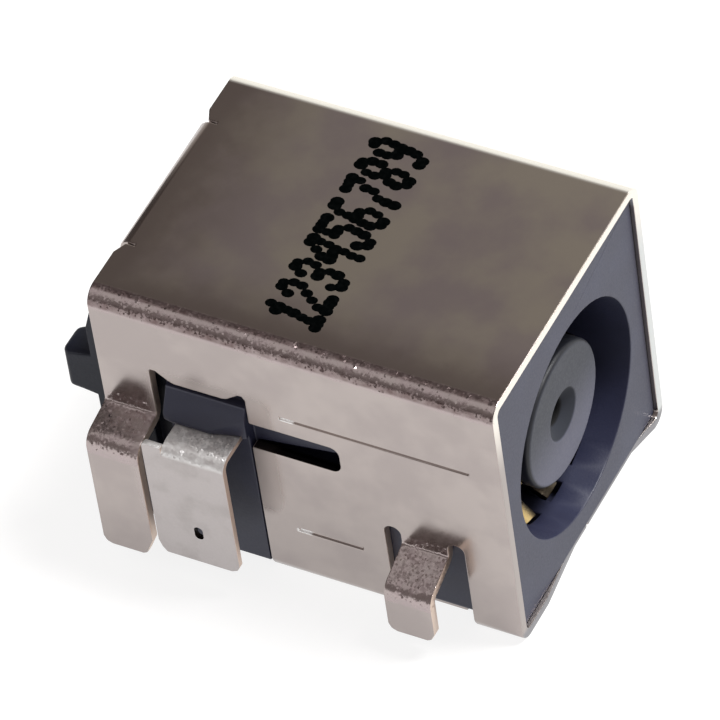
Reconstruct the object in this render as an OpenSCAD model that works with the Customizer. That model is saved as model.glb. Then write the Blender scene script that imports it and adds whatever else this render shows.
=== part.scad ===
// DC barrel jack, mid-mount, with a folded metal shell.
// +Z is up, the mouth faces -Y, and Y runs into the jack.
// Origin: middle of the shell's width, in the mouth plane, on the shell's underside.

/* [Shell] */
// Width of the folded shell, outside to outside
shell_w = 10.1; // [9.9:0.1:11]
// Height of the folded shell
shell_h = 10.5; // [10.3:0.1:11.5]
// Length of the shell from the mouth to the rear edge
shell_l = 13.6; // [13.5:0.1:14.6]
// Thickness of the shell's sheet metal
sheet = 0.35; // [0.3:0.01:0.4]
// Outside radius of the shell's lengthwise bends
bend_r = 0.55; // [0.5:0.05:0.7]
// Gap of the butt seam along the underside
seam_gap = 0.06; // [0.04:0.01:0.12]

/* [Legs] */
// How far a leg's outer face stands off the shell's side
leg_out = 1.45; // [1.3:0.05:1.7]
// Height of the leg tips above the underside
leg_tip_z = 0.75; // [0.5:0.05:1]
// Width of the front pair of legs
front_leg_w = 1.6; // [1.4:0.1:1.8]
// Distance from the mouth to the middle of the front legs
front_leg_y = 3.0; // [2.8:0.1:3.2]
// Width of the rear pair of legs
rear_leg_w = 1.8; // [1.6:0.1:1.9]

/* [Plug interface] */
// Diameter of the bore that takes the plug's barrel
bore_d = 7.6; // [7.5:0.05:7.7]
// Diameter of the centre post that enters the barrel
post_d = 4.74; // [4.6:0.02:4.8]
// Diameter of the hole for the plug's centre pin
pin_hole_d = 0.8; // [0.7:0.05:0.9]
// Height of the plug's axis above the underside
axis_z = 5.0; // [4.95:0.05:5.1]
// How far the post's face lies behind the mouth plane
post_recess = 0.6; // [0.5:0.05:0.8]
// How far the moulded face lies behind the mouth plane
face_recess = 0.15; // [0.1:0.05:0.3]

/* [Contacts] */
// Thickness of the two terminal contacts' strip
strip_t = 0.22; // [0.2:0.02:0.3]
// Thickness of the centre pin contact's strip
thin_t = 0.2; // [0.15:0.05:0.2]
// Width of one spring finger
finger_w = 0.7; // [0.6:0.1:0.8]

/* [Hidden] */
$fn = 64;
eps = 0.01;
far = 30;
bend_steps = 8;

// Shell planes
inner_x = shell_w / 2 - sheet;
floor_z = sheet;
roof_z = shell_h - sheet;
inner_r = bend_r - sheet;
moulding_r = inner_r + 0.05;
bottom_cut = 0.63;
edge_gap = 0.04;

// Side window, seen from the side as [y, z]
window_y = [8.57, shell_l - rear_leg_w];
window_top = 7.44;
notch_top = 7.8;
key_slot_z = [5.62, 6.65];
key_slot_y = 5.55;
rear_leg_y = shell_l - rear_leg_w / 2;

// Legs: heights of the two bends on the sheet's centre line. Terminals: height of the strip's
// centre line where it comes out of the pad
front_leg_z = [3.05, 2.54];
rear_leg_z = [5.65, 5.39];
terminal_z = 6.04;
terminal_bend_r = 0.34;
root_z = terminal_z - terminal_bend_r;
shoulder_z = terminal_z + 0.08;
relief_w = 0.54;
relief_z = 3.78;
foot_x = shell_w / 2 + leg_out - sheet / 2;
terminal_x = shell_w / 2 + leg_out - strip_t / 2;
terminal_y = [8.8, 11.58];
neck_y = [terminal_y[0], 10.92];
terminal_tip_z = leg_tip_z + 0.45;

// Rear flap, whose outer face stands a little proud of the ears beside it
flap_w = 5.4;
flap_y = shell_l + 0.08;
flap_z = 8.6;
flap_r = 0.4;
ear_chamfer = [0.5, 0.2];
back_y = flap_y - sheet;

// Mouldings
split_y = 11.5;
waist_x = inner_x - 0.3;
waist_y = 12.2;
pad_y = [8.62, 11.34];
pad_top = 7.28;
pad_x = shell_w / 2 - 0.03;
pad_lip = 0.45;
rail_x = [3.05, 4.6];
rail_y = 14.15;
block_y = 15.15;
block_z = [5.3, 7.05];
block_w = 1.0;

// Contact lines
bore_r = bore_d / 2;
post_r = post_d / 2;
plate_x = inner_x - 0.325;
plate_z = 0.75;
outer_finger_x = 1.72;
finger_lean = 20;
slot_y = 1.2;
ring_y = split_y - strip_t / 2;
groove_w = finger_w + 0.1;
groove_r = 1.65;
// Turn of each inner finger about the axis, from straight up
inner_angles = [68, 112, 248, 292];
chamber = [1.0, 1.4];
chamber_y = 1.9;
tail_y = shell_l + 0.25;

// ---- Bent strip: a centre line of [u, v, bend radius] points, given a thickness ----

function unit(v) = v / norm(v);
function left_of(v) = [-v[1], v[0]];
function turned(v, a) = [v[0] * cos(a) - v[1] * sin(a), v[0] * sin(a) + v[1] * cos(a)];
function flat(p) = [p[0], p[1]];

// One bend as a list of [point, normal] along its arc
function bend(a, b, c, r) =
    let (u = unit(b - a), w = unit(c - b))
    let (turn = atan2(u[0] * w[1] - u[1] * w[0], u * w), side = sign(turn))
    let (start = b - u * r * tan(abs(turn) / 2))
    let (centre = start + left_of(u) * side * r)
    [for (i = [0:bend_steps])
        let (n = left_of(turned(u, turn * i / bend_steps)))
        [centre - n * side * r, n]];

function strip_line(path) =
    let (last = len(path) - 1)
    concat(
        [[flat(path[0]), left_of(unit(flat(path[1]) - flat(path[0])))]],
        [for (i = [1:last - 1])
            for (q = bend(flat(path[i - 1]), flat(path[i]), flat(path[i + 1]), path[i][2])) q],
        [[flat(path[last]), left_of(unit(flat(path[last]) - flat(path[last - 1])))]]);

module strip_2d(path, t) {
    line = strip_line(path);
    last = len(line) - 1;
    polygon(concat(
        [for (q = line) q[0] + q[1] * t / 2],
        [for (i = [last:-1:0]) line[i][0] - line[i][1] * t / 2]));
}

// Draws a section given in X and Z, from y0 to y1
module along_y(y0, y1) {
    translate([0, y1, 0]) rotate([90, 0, 0]) linear_extrude(y1 - y0) children();
}

// Draws a section given in Y and Z, from x0 to x1
module along_x(x0, x1) {
    translate([x0, 0, 0]) rotate([90, 0, 90]) linear_extrude(x1 - x0) children();
}

module both_sides() {
    children();
    mirror([1, 0, 0]) children();
}

// Round bar on the plug's axis, from y0 to y1
module axial(y0, y1, r0, r1) {
    translate([0, y0, axis_z]) rotate([-90, 0, 0]) cylinder(h = y1 - y0, r1 = r0, r2 = r1);
}

module rounded_2d(w, z0, z1, r) {
    translate([-w / 2 + r, z0]) square([w - 2 * r, z1 - z0]);
    translate([-w / 2, z0 + r]) square([w, z1 - z0 - 2 * r]);
    for (x = [-w / 2 + r, w / 2 - r], z = [z0 + r, z1 - r]) translate([x, z]) circle(r);
}

// ---- Folded shell ----

// Outline of a leg's tip in [y, z]: a front taper of the given height and a small rear corner
module leg_tip_2d(y0, y1, z0, top, taper) {
    polygon([[y0, top], [y0, z0 + taper], [y0 + taper * 0.38, z0 + 0.08],
        [y0 + taper * 0.38 + 0.14, z0], [y1 - 0.3, z0], [y1 - 0.1, z0 + 0.08], [y1, z0 + 0.3],
        [y1, top]]);
}

module shell_leg(y, w, z, root, taper) {
    wall = -shell_w / 2 + sheet / 2;
    intersection() {
        along_y(y - w / 2, y + w / 2) strip_2d([[wall, root, 0], [wall, z[0], 0.3],
            [-foot_x, z[1], 0.35], [-foot_x, leg_tip_z, 0]], sheet);
        along_x(-far, 0) leg_tip_2d(y - w / 2, y + w / 2, leg_tip_z, root, taper);
    }
}

// Opening for one front leg, with a round-topped relief slot on each side of it
module front_leg_opening() {
    gap = front_leg_w / 2 + relief_w / 2;
    reach = -shell_w / 2 + bottom_cut;
    translate([-far, front_leg_y - gap - relief_w / 2, -1])
        cube([far + reach, 2 * gap + relief_w, front_leg_z[0] + 1.2]);
    for (s = [-1, 1]) {
        translate([-far, front_leg_y + s * gap - relief_w / 2, 0])
            cube([far - 1, relief_w, relief_z - relief_w / 2]);
        translate([-far, front_leg_y + s * gap, relief_z - relief_w / 2])
            rotate([0, 90, 0]) cylinder(h = far - 1, d = relief_w);
    }
}

// Window, key slot and rear leg opening in one side wall
module rear_opening() {
    r = 0.3;
    y0 = window_y[0];
    y1 = window_y[1];
    along_x(-far, -1) {
        polygon([[y0, key_slot_z[1]], [y0, notch_top - 0.12], [y0 + 0.08, notch_top],
            [y0 + 0.2, notch_top], [y0 + 0.62, window_top + 0.05], [y0 + 0.8, window_top],
            [y1 - 0.8, window_top], [y1 - 0.62, window_top + 0.07], [y1 - 0.2, notch_top],
            [y1 - 0.06, notch_top], [y1, notch_top - 0.08], [y1, 1], [y0, 1]]);
        translate([key_slot_y + r, key_slot_z[0]])
            square([y0 - key_slot_y - r + 0.1, key_slot_z[1] - key_slot_z[0]]);
        translate([key_slot_y, key_slot_z[0] + r])
            square([1, key_slot_z[1] - key_slot_z[0] - 2 * r]);
        for (z = [key_slot_z[0] + r, key_slot_z[1] - r]) translate([key_slot_y + r, z]) circle(r);
    }
    translate([-far, y0, -1])
        cube([far - shell_w / 2 + bottom_cut, y1 - y0, rear_leg_z[0] - 1]);
    translate([-far, y1 - eps, -1])
        cube([far - shell_w / 2 + bottom_cut, far, rear_leg_z[0] + 1.2]);
}

// Shallow coined line on the outside of a side wall
module coined_line(y0, y1, z) {
    depth = 0.1;
    width = 0.12;
    translate([-shell_w / 2 - 1, y0, z - width / 2]) cube([1 + depth, y1 - y0, width]);
}

module shell() {
    rear_root = rear_leg_z[0] + 1.4;
    color([0.70, 0.67, 0.65]) {
        difference() {
            along_y(0, shell_l) rounded_2d(shell_w, 0, shell_h, bend_r);
            along_y(-1, shell_l + 1) rounded_2d(2 * inner_x, floor_z, roof_z, inner_r);
            translate([-seam_gap / 2, -1, -1]) cube([seam_gap, far, sheet + 2]);
            // The underside's front edge is cut back between the corners
            translate([0, 0, -1]) linear_extrude(sheet + 1.05)
                polygon([[-3.3, -1], [-3.3, 0], [-0.9, 0.25], [3.2, 0.25], [4.4, 0], [4.4, -1]]);
            // Room for the rear flap's bend, with the ears' inner corners cut off
            translate([0, 0, roof_z - sheet]) linear_extrude(far) polygon([
                [-flap_w / 2 - edge_gap, shell_l - flap_r - 0.1],
                [flap_w / 2 + edge_gap, shell_l - flap_r - 0.1],
                [flap_w / 2 + edge_gap, shell_l - ear_chamfer[1]],
                [flap_w / 2 + ear_chamfer[0], shell_l + eps], [flap_w / 2, far],
                [-flap_w / 2, far], [-flap_w / 2 - ear_chamfer[0], shell_l + eps],
                [-flap_w / 2 - edge_gap, shell_l - ear_chamfer[1]]]);
            both_sides() {
                front_leg_opening();
                rear_opening();
                coined_line(1.1, 7.45, 7.35);
                coined_line(5.2, 7.4, 2.3);
            }
        }
        along_x(-flap_w / 2, flap_w / 2) strip_2d([[shell_l - flap_r - 0.6, roof_z + sheet / 2, 0],
            [flap_y - sheet / 2, roof_z + sheet / 2, flap_r - sheet / 2],
            [flap_y - sheet / 2, flap_z, 0]], sheet);
        both_sides() {
            shell_leg(front_leg_y, front_leg_w, front_leg_z, front_leg_z[0] + 1.2, 0.38);
            shell_leg(rear_leg_y, rear_leg_w, rear_leg_z, rear_root, 0.75);
        }
    }
}

// ---- Moulded insulators ----

// Pad that fills one side window, with a lip that swells out over the terminal
module window_pad() {
    translate([-pad_x, pad_y[0], floor_z])
        cube([pad_x - waist_x, pad_y[1] - pad_y[0], pad_top - floor_z]);
    intersection() {
        along_y(pad_y[0], pad_y[1]) polygon([[-waist_x, pad_top], [-pad_x, pad_top - 0.1],
            [-pad_x - pad_lip, terminal_z + 0.3], [-pad_x - pad_lip, terminal_z],
            [-waist_x, terminal_z]]);
        translate([0, 0, floor_z]) linear_extrude(far) polygon([[-waist_x, pad_y[0]],
            [-pad_x - pad_lip / 3, pad_y[0]], [-pad_x - pad_lip, pad_y[0] + 1.1],
            [-pad_x - pad_lip, pad_y[1] - 0.3], [-pad_x - pad_lip + 0.06, pad_y[1]],
            [-waist_x, pad_y[1]]]);
    }
}

module housing() {
    gap = 0.07;
    color([0.20, 0.20, 0.24]) difference() {
        union() {
            along_y(face_recess, split_y)
                rounded_2d(2 * inner_x, floor_z, roof_z, moulding_r);
            both_sides() window_pad();
        }
        axial(-1, far, bore_r, bore_r);
        // Rear pockets for the terminal straps
        along_y(neck_y[0], split_y + 1) outer_strap_2d();
        mirror([1, 0, 0]) along_y(neck_y[0], split_y + 1) side_strap_2d();
        translate([0, ring_y - strip_t / 2, axis_z - 1.1]) cube([plate_x, far, 1.8]);
        // Slots for the three fingers under the bore
        for (i = [-1:1]) outer_finger_place(i)
            translate([-finger_w / 2 - gap, slot_y, -strip_t / 2])
                cube([finger_w + 2 * gap, split_y - slot_y, 2]);
        // Tapered grooves behind the shell's key slots
        both_sides() along_x(-inner_x - 1, -inner_x + 0.5)
            polygon([[key_slot_y, 4.9], [pad_y[0] - 0.1, 4.9], [pad_y[0] - 0.1, key_slot_z[0]],
                [key_slot_y, key_slot_z[0] + 0.47]]);
    }
}

// Outline of the centre post as [radius, distance from the mouth], turned about the plug's axis
module post_2d() {
    edge_r = 0.16;
    sink = 0.34;
    sink_w = 0.48;
    polygon(concat(
        [[0, split_y + 0.7], [0, chamber_y], [pin_hole_d / 2, chamber_y],
            [pin_hole_d / 2, post_recess + sink], [pin_hole_d / 2 + sink_w, post_recess]],
        [for (a = [0:15:90]) [post_r - edge_r + edge_r * sin(a),
            post_recess + edge_r - edge_r * cos(a)]],
        [[post_r, split_y + 0.7]]));
}

module centre_post() {
    groove_start = post_recess + 0.45;
    color([0.30, 0.30, 0.34]) difference() {
        translate([0, 0, axis_z]) rotate([-90, 0, 0]) rotate_extrude() post_2d();
        // Chamber for the centre pin contact
        translate([-chamber[0] / 2, chamber_y, axis_z - chamber[1] / 2])
            cube([chamber[0], split_y - chamber_y, chamber[1]]);
        pin_tail_slot();
        for (a = inner_angles) translate([0, 0, axis_z]) rotate([0, a, 0])
            translate([-groove_w / 2, groove_start, groove_r])
                cube([groove_w, split_y - groove_start, 2]);
    }
}

// Slot for the flat tail of the centre pin contact
module pin_tail_slot() {
    translate([-finger_w / 2, split_y - 1, axis_z - thin_t / 2]) cube([finger_w, far, thin_t]);
}

module rear_cover() {
    color([0.17, 0.17, 0.20]) difference() {
        union() {
            along_y(split_y, waist_y + eps)
                rounded_2d(2 * waist_x, floor_z, roof_z, moulding_r);
            difference() {
                along_y(waist_y, back_y) rounded_2d(2 * inner_x, floor_z, roof_z, moulding_r);
                // Chamfer that clears the inside of the flap's bend
                along_x(-far, far) polygon([[back_y - 0.25, roof_z + 1], [back_y + 1, roof_z + 1],
                    [back_y + 1, roof_z - 0.25], [back_y, roof_z - 0.25], [back_y - 0.25, roof_z]]);
            }
            both_sides() rear_rail();
        }
        // Hole for the end of the centre post
        axial(split_y - 1, split_y + 0.7, post_r, post_r);
        pin_tail_slot();
    }
}

// Rail at a rear corner of the cover, with the block that stands out behind the shell
module rear_rail() {
    along_x(-rail_x[1], -rail_x[0])
        polygon([[waist_y, 1.2], [rail_y - 0.3, 1.2], [rail_y, 1.5], [rail_y, 8.3],
            [rail_y - 0.3, 9.3], [waist_y, 9.3]]);
    translate([-rail_x[1], 0, block_z[0]]) linear_extrude(block_z[1] - block_z[0])
        polygon([[0, waist_y], [block_w + 0.2, waist_y], [block_w + 0.2, block_y - 0.35],
            [block_w, block_y], [0, block_y]]);
}

// ---- Contacts ----

// Near-side terminal: under the bore, up the side, out through the pad and down to the board
module outer_strap_2d() {
    strip_2d([[outer_finger_x + finger_w / 2, plate_z, 0], [-plate_x, plate_z, 0.4],
        [-plate_x, terminal_z, 0.3], [-terminal_x, terminal_z, terminal_bend_r],
        [-terminal_x, terminal_tip_z, 0]], strip_t);
}

// The same terminal without its bottom part
module side_strap_2d() {
    strip_2d([[-plate_x, axis_z - 1.1, 0], [-plate_x, terminal_z, 0.3],
        [-terminal_x, terminal_z, terminal_bend_r], [-terminal_x, terminal_tip_z, 0]], strip_t);
}

// Side outline of a terminal in [y, z]: full width at the foot, narrower at the neck
module terminal_outline_2d() {
    y0 = terminal_y[0];
    y1 = terminal_y[1];
    z0 = terminal_tip_z;
    polygon([[y0, z0 + 0.3], [y0 + 0.1, z0 + 0.1], [y0 + 0.3, z0], [y1 - 0.25, z0],
        [y1 - 0.1, z0 + 0.2], [y1, z0 + 0.5], [y1, root_z], [neck_y[1], root_z],
        [neck_y[1], far], [y0, far]]);
}

// Shoulder that stays upright beside the neck's bend
module shoulder() {
    y1 = terminal_y[1];
    along_x(-terminal_x - strip_t / 2, -terminal_x + strip_t / 2)
        polygon([[neck_y[1] - 0.2, root_z - 0.2], [y1, root_z - 0.2], [y1, shoulder_z - 0.1],
            [y1 - 0.1, shoulder_z], [neck_y[1], shoulder_z], [neck_y[1], root_z],
            [neck_y[1] - 0.2, root_z]]);
}

// A terminal's strap trimmed to its side outline, with the foot's upright hole
module terminal() {
    hole_y = 10.06;
    hole_z = [2.45, 2.69];
    outside = -plate_x - strip_t;
    difference() {
        union() {
            shoulder();
            intersection() {
                along_y(neck_y[0], terminal_y[1]) children();
                union() {
                    along_x(-far, outside) terminal_outline_2d();
                    translate([outside - eps, neck_y[0], -far])
                        cube([far, neck_y[1] - neck_y[0], 2 * far]);
                    translate([outside - eps, neck_y[0], -far])
                        cube([far, split_y - neck_y[0], far + axis_z]);
                }
            }
        }
        along_x(-far, -pad_x - pad_lip) {
            for (z = hole_z) translate([hole_y, z]) circle(d = 0.28);
            translate([hole_y - 0.14, hole_z[0]]) square([0.28, hole_z[1] - hole_z[0]]);
        }
    }
}

// Moves a finger to its place under the bore: the outer two lean towards the axis
module outer_finger_place(i) {
    translate([i * outer_finger_x, 0, plate_z]) rotate([0, -i * finger_lean, 0]) children();
}

module outer_contact() {
    color([0.85, 0.74, 0.45]) {
        terminal() outer_strap_2d();
        for (i = [-1:1]) outer_finger_place(i) along_x(-finger_w / 2, finger_w / 2)
            strip_2d([[neck_y[0] + 0.5, 0, 0], [5.6, 0, 1.5], [2.2, 1.2 - 0.35 * (1 - abs(i)), 0.4],
                [1.38, 0.66 - 0.28 * (1 - abs(i)), 0]], strip_t);
    }
}

module inner_contact() {
    color([0.85, 0.70, 0.42]) {
        mirror([1, 0, 0]) terminal() side_strap_2d();
        difference() {
            union() {
                axial(split_y - strip_t, split_y, bore_r, bore_r);
                translate([0, split_y - strip_t, axis_z - 1.1]) cube([plate_x, strip_t, 1.8]);
            }
            axial(0, far, post_r, post_r);
        }
        for (a = inner_angles) translate([0, 0, axis_z]) rotate([0, a, 0])
            along_x(-finger_w / 2, finger_w / 2)
                strip_2d([[ring_y, post_r + 0.6, 0], [ring_y, 1.9, 0.3], [6, 1.9, 1.5],
                    [2.1, 2.46, 0.6], [1.12, 2.28, 0]], strip_t);
    }
}

module pin_contact() {
    reach = 0.45;
    half = finger_w / 2;
    color([0.83, 0.72, 0.47]) {
        along_x(-half, half) strip_2d([[chamber_y + 0.1, axis_z + reach, 0],
            [chamber_y + 0.8, axis_z + 0.3, 0.4], [5.5, axis_z + reach, 1],
            [10.9, axis_z + reach, reach - 0.02], [10.9, axis_z - reach, reach - 0.02],
            [5.5, axis_z - reach, 1], [chamber_y + 0.8, axis_z - 0.3, 0.4],
            [chamber_y + 0.1, axis_z - reach, 0]], thin_t);
        along_x(-half, half) strip_2d([[10.9, axis_z, 0], [tail_y, axis_z, 0.25],
            [tail_y, leg_tip_z, 0]], thin_t);
    }
}

shell();
housing();
centre_post();
rear_cover();
outer_contact();
inner_contact();
pin_contact();
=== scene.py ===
"""Dresses the DC barrel jack: nickel shell, moulded insulators and sprung contacts, on a pale floor."""

import logging
import math
import random
from contextlib import contextmanager
from dataclasses import dataclass, field
from enum import Enum
from typing import Callable, Iterator

import bmesh
import bpy
from mathutils import Matrix, Vector


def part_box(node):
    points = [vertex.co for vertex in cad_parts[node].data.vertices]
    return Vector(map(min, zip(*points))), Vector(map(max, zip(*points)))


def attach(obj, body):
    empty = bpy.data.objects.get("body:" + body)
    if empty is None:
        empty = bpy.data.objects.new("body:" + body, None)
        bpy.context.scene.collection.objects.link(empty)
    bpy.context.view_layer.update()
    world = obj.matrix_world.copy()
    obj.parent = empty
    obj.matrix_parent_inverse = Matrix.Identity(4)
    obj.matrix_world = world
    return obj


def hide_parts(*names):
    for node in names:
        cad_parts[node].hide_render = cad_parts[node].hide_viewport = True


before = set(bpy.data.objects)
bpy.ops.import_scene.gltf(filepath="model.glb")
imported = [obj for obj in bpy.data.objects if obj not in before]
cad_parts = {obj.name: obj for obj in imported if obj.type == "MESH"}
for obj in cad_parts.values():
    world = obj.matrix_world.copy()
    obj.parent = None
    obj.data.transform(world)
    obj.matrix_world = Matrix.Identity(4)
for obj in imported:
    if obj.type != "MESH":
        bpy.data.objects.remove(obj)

log = logging.getLogger("dc_jack")

MM = 0.001
WELD = 0.0005  # millimetres: corners closer than this are one
SHORTEST_EDGE = 0.02  # millimetres: shorter edges are closed
FLAT_TURN = math.radians(0.6)  # faces that turn less than this are one face
SMOOTH_TURN = math.radians(35)  # edges that turn less than this are shaded smooth
SHARP_TURN = math.radians(32)  # edges that turn more than this are rounded
NEEDLE = math.radians(24)  # edges closer than this at a corner have no room to be rounded

Colour = tuple[float, float, float, float]
Span = tuple[float, float]
Node = bpy.types.Node
Piece = bpy.types.Object


class Part(Enum):
    """CAD nodes of the jack. The record's material slots have the same names."""

    SHELL = "shell"
    HOUSING = "housing"
    CENTRE_POST = "centre_post"
    REAR_COVER = "rear_cover"
    OUTER_CONTACT = "outer_contact"
    INNER_CONTACT = "inner_contact"
    PIN_CONTACT = "pin_contact"


@dataclass(frozen=True)
class JackSizes:
    """Places on the jack in millimetres, which the finishes and the roundings refer to.

    Args:
        leg_out: how far a leg's outer face stands off the shell's side
        axis_z: height of the plug's axis
        block_y: where the rear blocks stand clear of the shell
        flap_y: from where to where the rear flap lies
        window_y: from front to rear round a side window
        window_z: from bottom to top round a side window
        slot_y: from end to end of a key slot
        slot_floor: heights between which a key slot's lower edge lies
        upper_line: heights of the upper coined line's edges
        lower_line: heights of the lower coined line's edges
        line_end: where the coined lines' burnished ends lie
        front_leg_y: from front to rear of a front leg
        front_jog: heights between which a front leg steps outwards
        rear_leg_y: just in front of and just behind a rear leg's front edge
        rear_jog: heights between which a rear leg steps outwards
        hole_y: from front to rear of the small hole in a terminal's foot
        hole_z: from bottom to top of that hole
    """

    leg_out: float = 1.45
    axis_z: float = 5.0
    block_y: float = 14.3
    flap_y: Span = (13.0, 14.0)
    window_y: Span = (8.1, 11.6)
    window_z: Span = (3.4, 7.4)
    slot_y: Span = (5.5, 8.5)
    slot_floor: Span = (5.5, 5.8)
    upper_line: Span = (7.27, 7.39)
    lower_line: Span = (2.22, 2.34)
    # line_end: where the coined lines' rear ends lie, which get a painted highlight
    line_end: Span = (7.05, 7.36)
    front_leg_y: Span = (2.12, 3.9)
    front_jog: Span = (2.2, 3.5)
    rear_leg_y: Span = (11.7, 11.76)
    rear_jog: Span = (4.95, 6.2)
    hole_y: Span = (9.9, 10.22)
    hole_z: Span = (2.3, 2.84)

    @property
    def wall_x(self) -> float:
        """Distance from the middle to a side wall's outer face."""
        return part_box(Part.SHELL.value)[1].x / MM - self.leg_out

    @property
    def roof_z(self) -> float:
        """Height of the roof's outer face."""
        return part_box(Part.SHELL.value)[1].z / MM


SIZES = JackSizes()


# ---- Bench: pieces are shaped in millimetres and set down in metres ----


def deselect_all() -> None:
    """Leaves object mode clean, with nothing selected."""
    if bpy.context.mode != "OBJECT":
        bpy.ops.object.mode_set(mode="OBJECT")
    bpy.ops.object.select_all(action="DESELECT")


def make_active(piece: Piece) -> None:
    """Selects one object alone and makes it the active one."""
    deselect_all()
    piece.select_set(True)
    bpy.context.view_layer.objects.active = piece


@contextmanager
def editing(piece: Piece, mode: str = "FACE") -> Iterator[bmesh.types.BMesh]:
    """Opens a piece in edit mode with nothing selected.

    Args:
        piece: the object to edit
        mode: what is selected, "VERT", "EDGE" or "FACE"

    Returns:
        the mesh being edited, for selecting by place or normal
    """
    make_active(piece)
    bpy.ops.object.mode_set(mode="EDIT")
    bpy.ops.mesh.select_mode(type=mode)
    bpy.ops.mesh.select_all(action="DESELECT")
    yield bmesh.from_edit_mesh(piece.data)
    bpy.ops.object.mode_set(mode="OBJECT")


def apply_scale(piece: Piece, factor: float) -> None:
    """Scales a piece about the frame's origin and keeps the result in its mesh.

    Args:
        piece: the object to scale
        factor: 1000 goes from metres to millimetres, 0.001 back
    """
    make_active(piece)
    bpy.ops.object.transform_apply(location=True, rotation=True, scale=True)
    piece.scale = (factor,) * 3
    bpy.ops.object.transform_apply(location=True, rotation=True, scale=True)


def copy_of_node(part: Part, name: str) -> Piece:
    """Copies a CAD node's mesh to the bench and merges its loose triangles to clean faces.

    Args:
        part: the node to copy
        name: name of the new piece

    Returns:
        the new object, in millimetres
    """
    piece = bpy.data.objects.new(name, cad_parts[part.value].data.copy())
    bpy.context.scene.collection.objects.link(piece)
    piece.data.name = name
    piece.data.materials.clear()
    apply_scale(piece, 1 / MM)
    with editing(piece):
        bpy.ops.mesh.select_all(action="SELECT")
        bpy.ops.mesh.remove_doubles(threshold=WELD)
        bpy.ops.mesh.customdata_custom_splitnormals_clear()
        bpy.ops.mesh.dissolve_limited(angle_limit=FLAT_TURN)
        bpy.ops.mesh.select_all(action="SELECT")
        bpy.ops.mesh.remove_doubles(threshold=SHORTEST_EDGE)
        bpy.ops.mesh.normals_make_consistent(inside=False)
    return piece


def round_edges(piece: Piece, width: float, segments: int = 2,
                where: Callable[[Vector], bool] | None = None) -> None:
    """Rounds a piece's sharp edges, as plating or a mould's corners leave them.

    Edges that run into a corner almost side by side are left sharp: there is no room between them.

    Args:
        piece: the object to round
        width: width of the rounding in millimetres
        segments: faces across the rounding
        where: says of an edge's middle whether that edge is rounded, or None for all
    """
    with editing(piece, "EDGE") as mesh:
        for edge in mesh.edges:
            middle = (edge.verts[0].co + edge.verts[1].co) / 2
            sharp = edge.is_manifold and edge.calc_face_angle() > SHARP_TURN
            edge.select_set(sharp and (where is None or where(middle)))
        for corner in [corner for corner in mesh.verts if is_needle(corner)]:
            for edge in corner.link_edges:
                edge.select_set(False)
        bmesh.update_edit_mesh(piece.data)
        bpy.ops.mesh.bevel(offset=width, segments=segments, affect="EDGES", clamp_overlap=False)


def is_needle(corner: bmesh.types.BMVert) -> bool:
    """Tells whether two selected edges leave a corner almost side by side."""
    ways = [edge.other_vert(corner).co - corner.co for edge in corner.link_edges if edge.select]
    return any(ways[i].angle(ways[j]) < NEEDLE for i in range(len(ways)) for j in range(i))


def complete(piece: Piece, part: Part, edge: float, material: bpy.types.Material) -> Piece:
    """Rounds a piece, brings it back to metres, shades it and ties it to the frame.

    Args:
        piece: the object, in millimetres
        part: the CAD node it stands for
        edge: width of its edges' rounding in millimetres
        material: its finish

    Returns:
        the piece
    """
    round_edges(piece, edge)
    apply_scale(piece, MM)
    bpy.ops.object.shade_smooth_by_angle(angle=SMOOTH_TURN)
    make_active(piece)
    weighted = piece.modifiers.new("weighted", "WEIGHTED_NORMAL")
    weighted.keep_sharp = True
    bpy.ops.object.modifier_apply(modifier=weighted.name)
    piece.data.materials.clear()
    piece.data.materials.append(material)
    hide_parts(part.value)
    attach(piece, "root")
    log.info("%s: %d faces", piece.name, len(piece.data.polygons))
    return piece


# ---- Finishes ----


def linear(hex_colour: str) -> Colour:
    """Turns an sRGB hex colour into linear light.

    Args:
        hex_colour: colour as #RRGGBB

    Returns:
        red, green, blue and a full alpha
    """
    def channel(start: int) -> float:
        """One channel, from its two hex digits."""
        value = int(hex_colour[start:start + 2], 16) / 255
        return value / 12.92 if value <= 0.04045 else ((value + 0.055) / 1.055) ** 2.4

    return channel(1), channel(3), channel(5), 1.0


MATH = "ShaderNodeMath"
VECTOR = "ShaderNodeVectorMath"
RAMP = "ShaderNodeMapRange"
MIX = "ShaderNodeMix"
BUMP = "ShaderNodeBump"
SOFT = {"interpolation_type": "SMOOTHSTEP"}
COLOUR = {"data_type": "RGBA"}
TIMES = {"operation": "MULTIPLY"}
LARGER = {"operation": "MAXIMUM"}
UNSIGNED = {"operation": "ABSOLUTE"}

# Sockets of RAMP: the value given, where it starts and stops, and what goes out there.
GIVEN, LOW, HIGH, OUT_LOW, OUT_HIGH = 0, 1, 2, 3, 4
# Sockets of MIX: the mask, and what shows where the mask is 0 and where it is 1.
MASK, UNDER_VALUE, OVER_VALUE, UNDER, OVER = 0, 2, 3, 6, 7


def add(tree: bpy.types.NodeTree, kind: str, inputs: dict | None = None,
        **settings: object) -> Node:
    """Adds a node with its settings and links.

    Args:
        tree: the node tree
        kind: Blender's name of the node's type
        inputs: for each socket's name or number, a value, an output, or a node whose first
            live output feeds it
        settings: the node's own options

    Returns:
        the new node
    """
    node = tree.nodes.new(kind)
    for name, value in settings.items():
        setattr(node, name, value)
    for socket, value in (inputs or {}).items():
        if isinstance(value, Node):
            value = next(output for output in value.outputs if output.enabled)
        if isinstance(value, bpy.types.NodeSocket):
            tree.links.new(value, node.inputs[socket])
        else:
            node.inputs[socket].default_value = value
    return node


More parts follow.
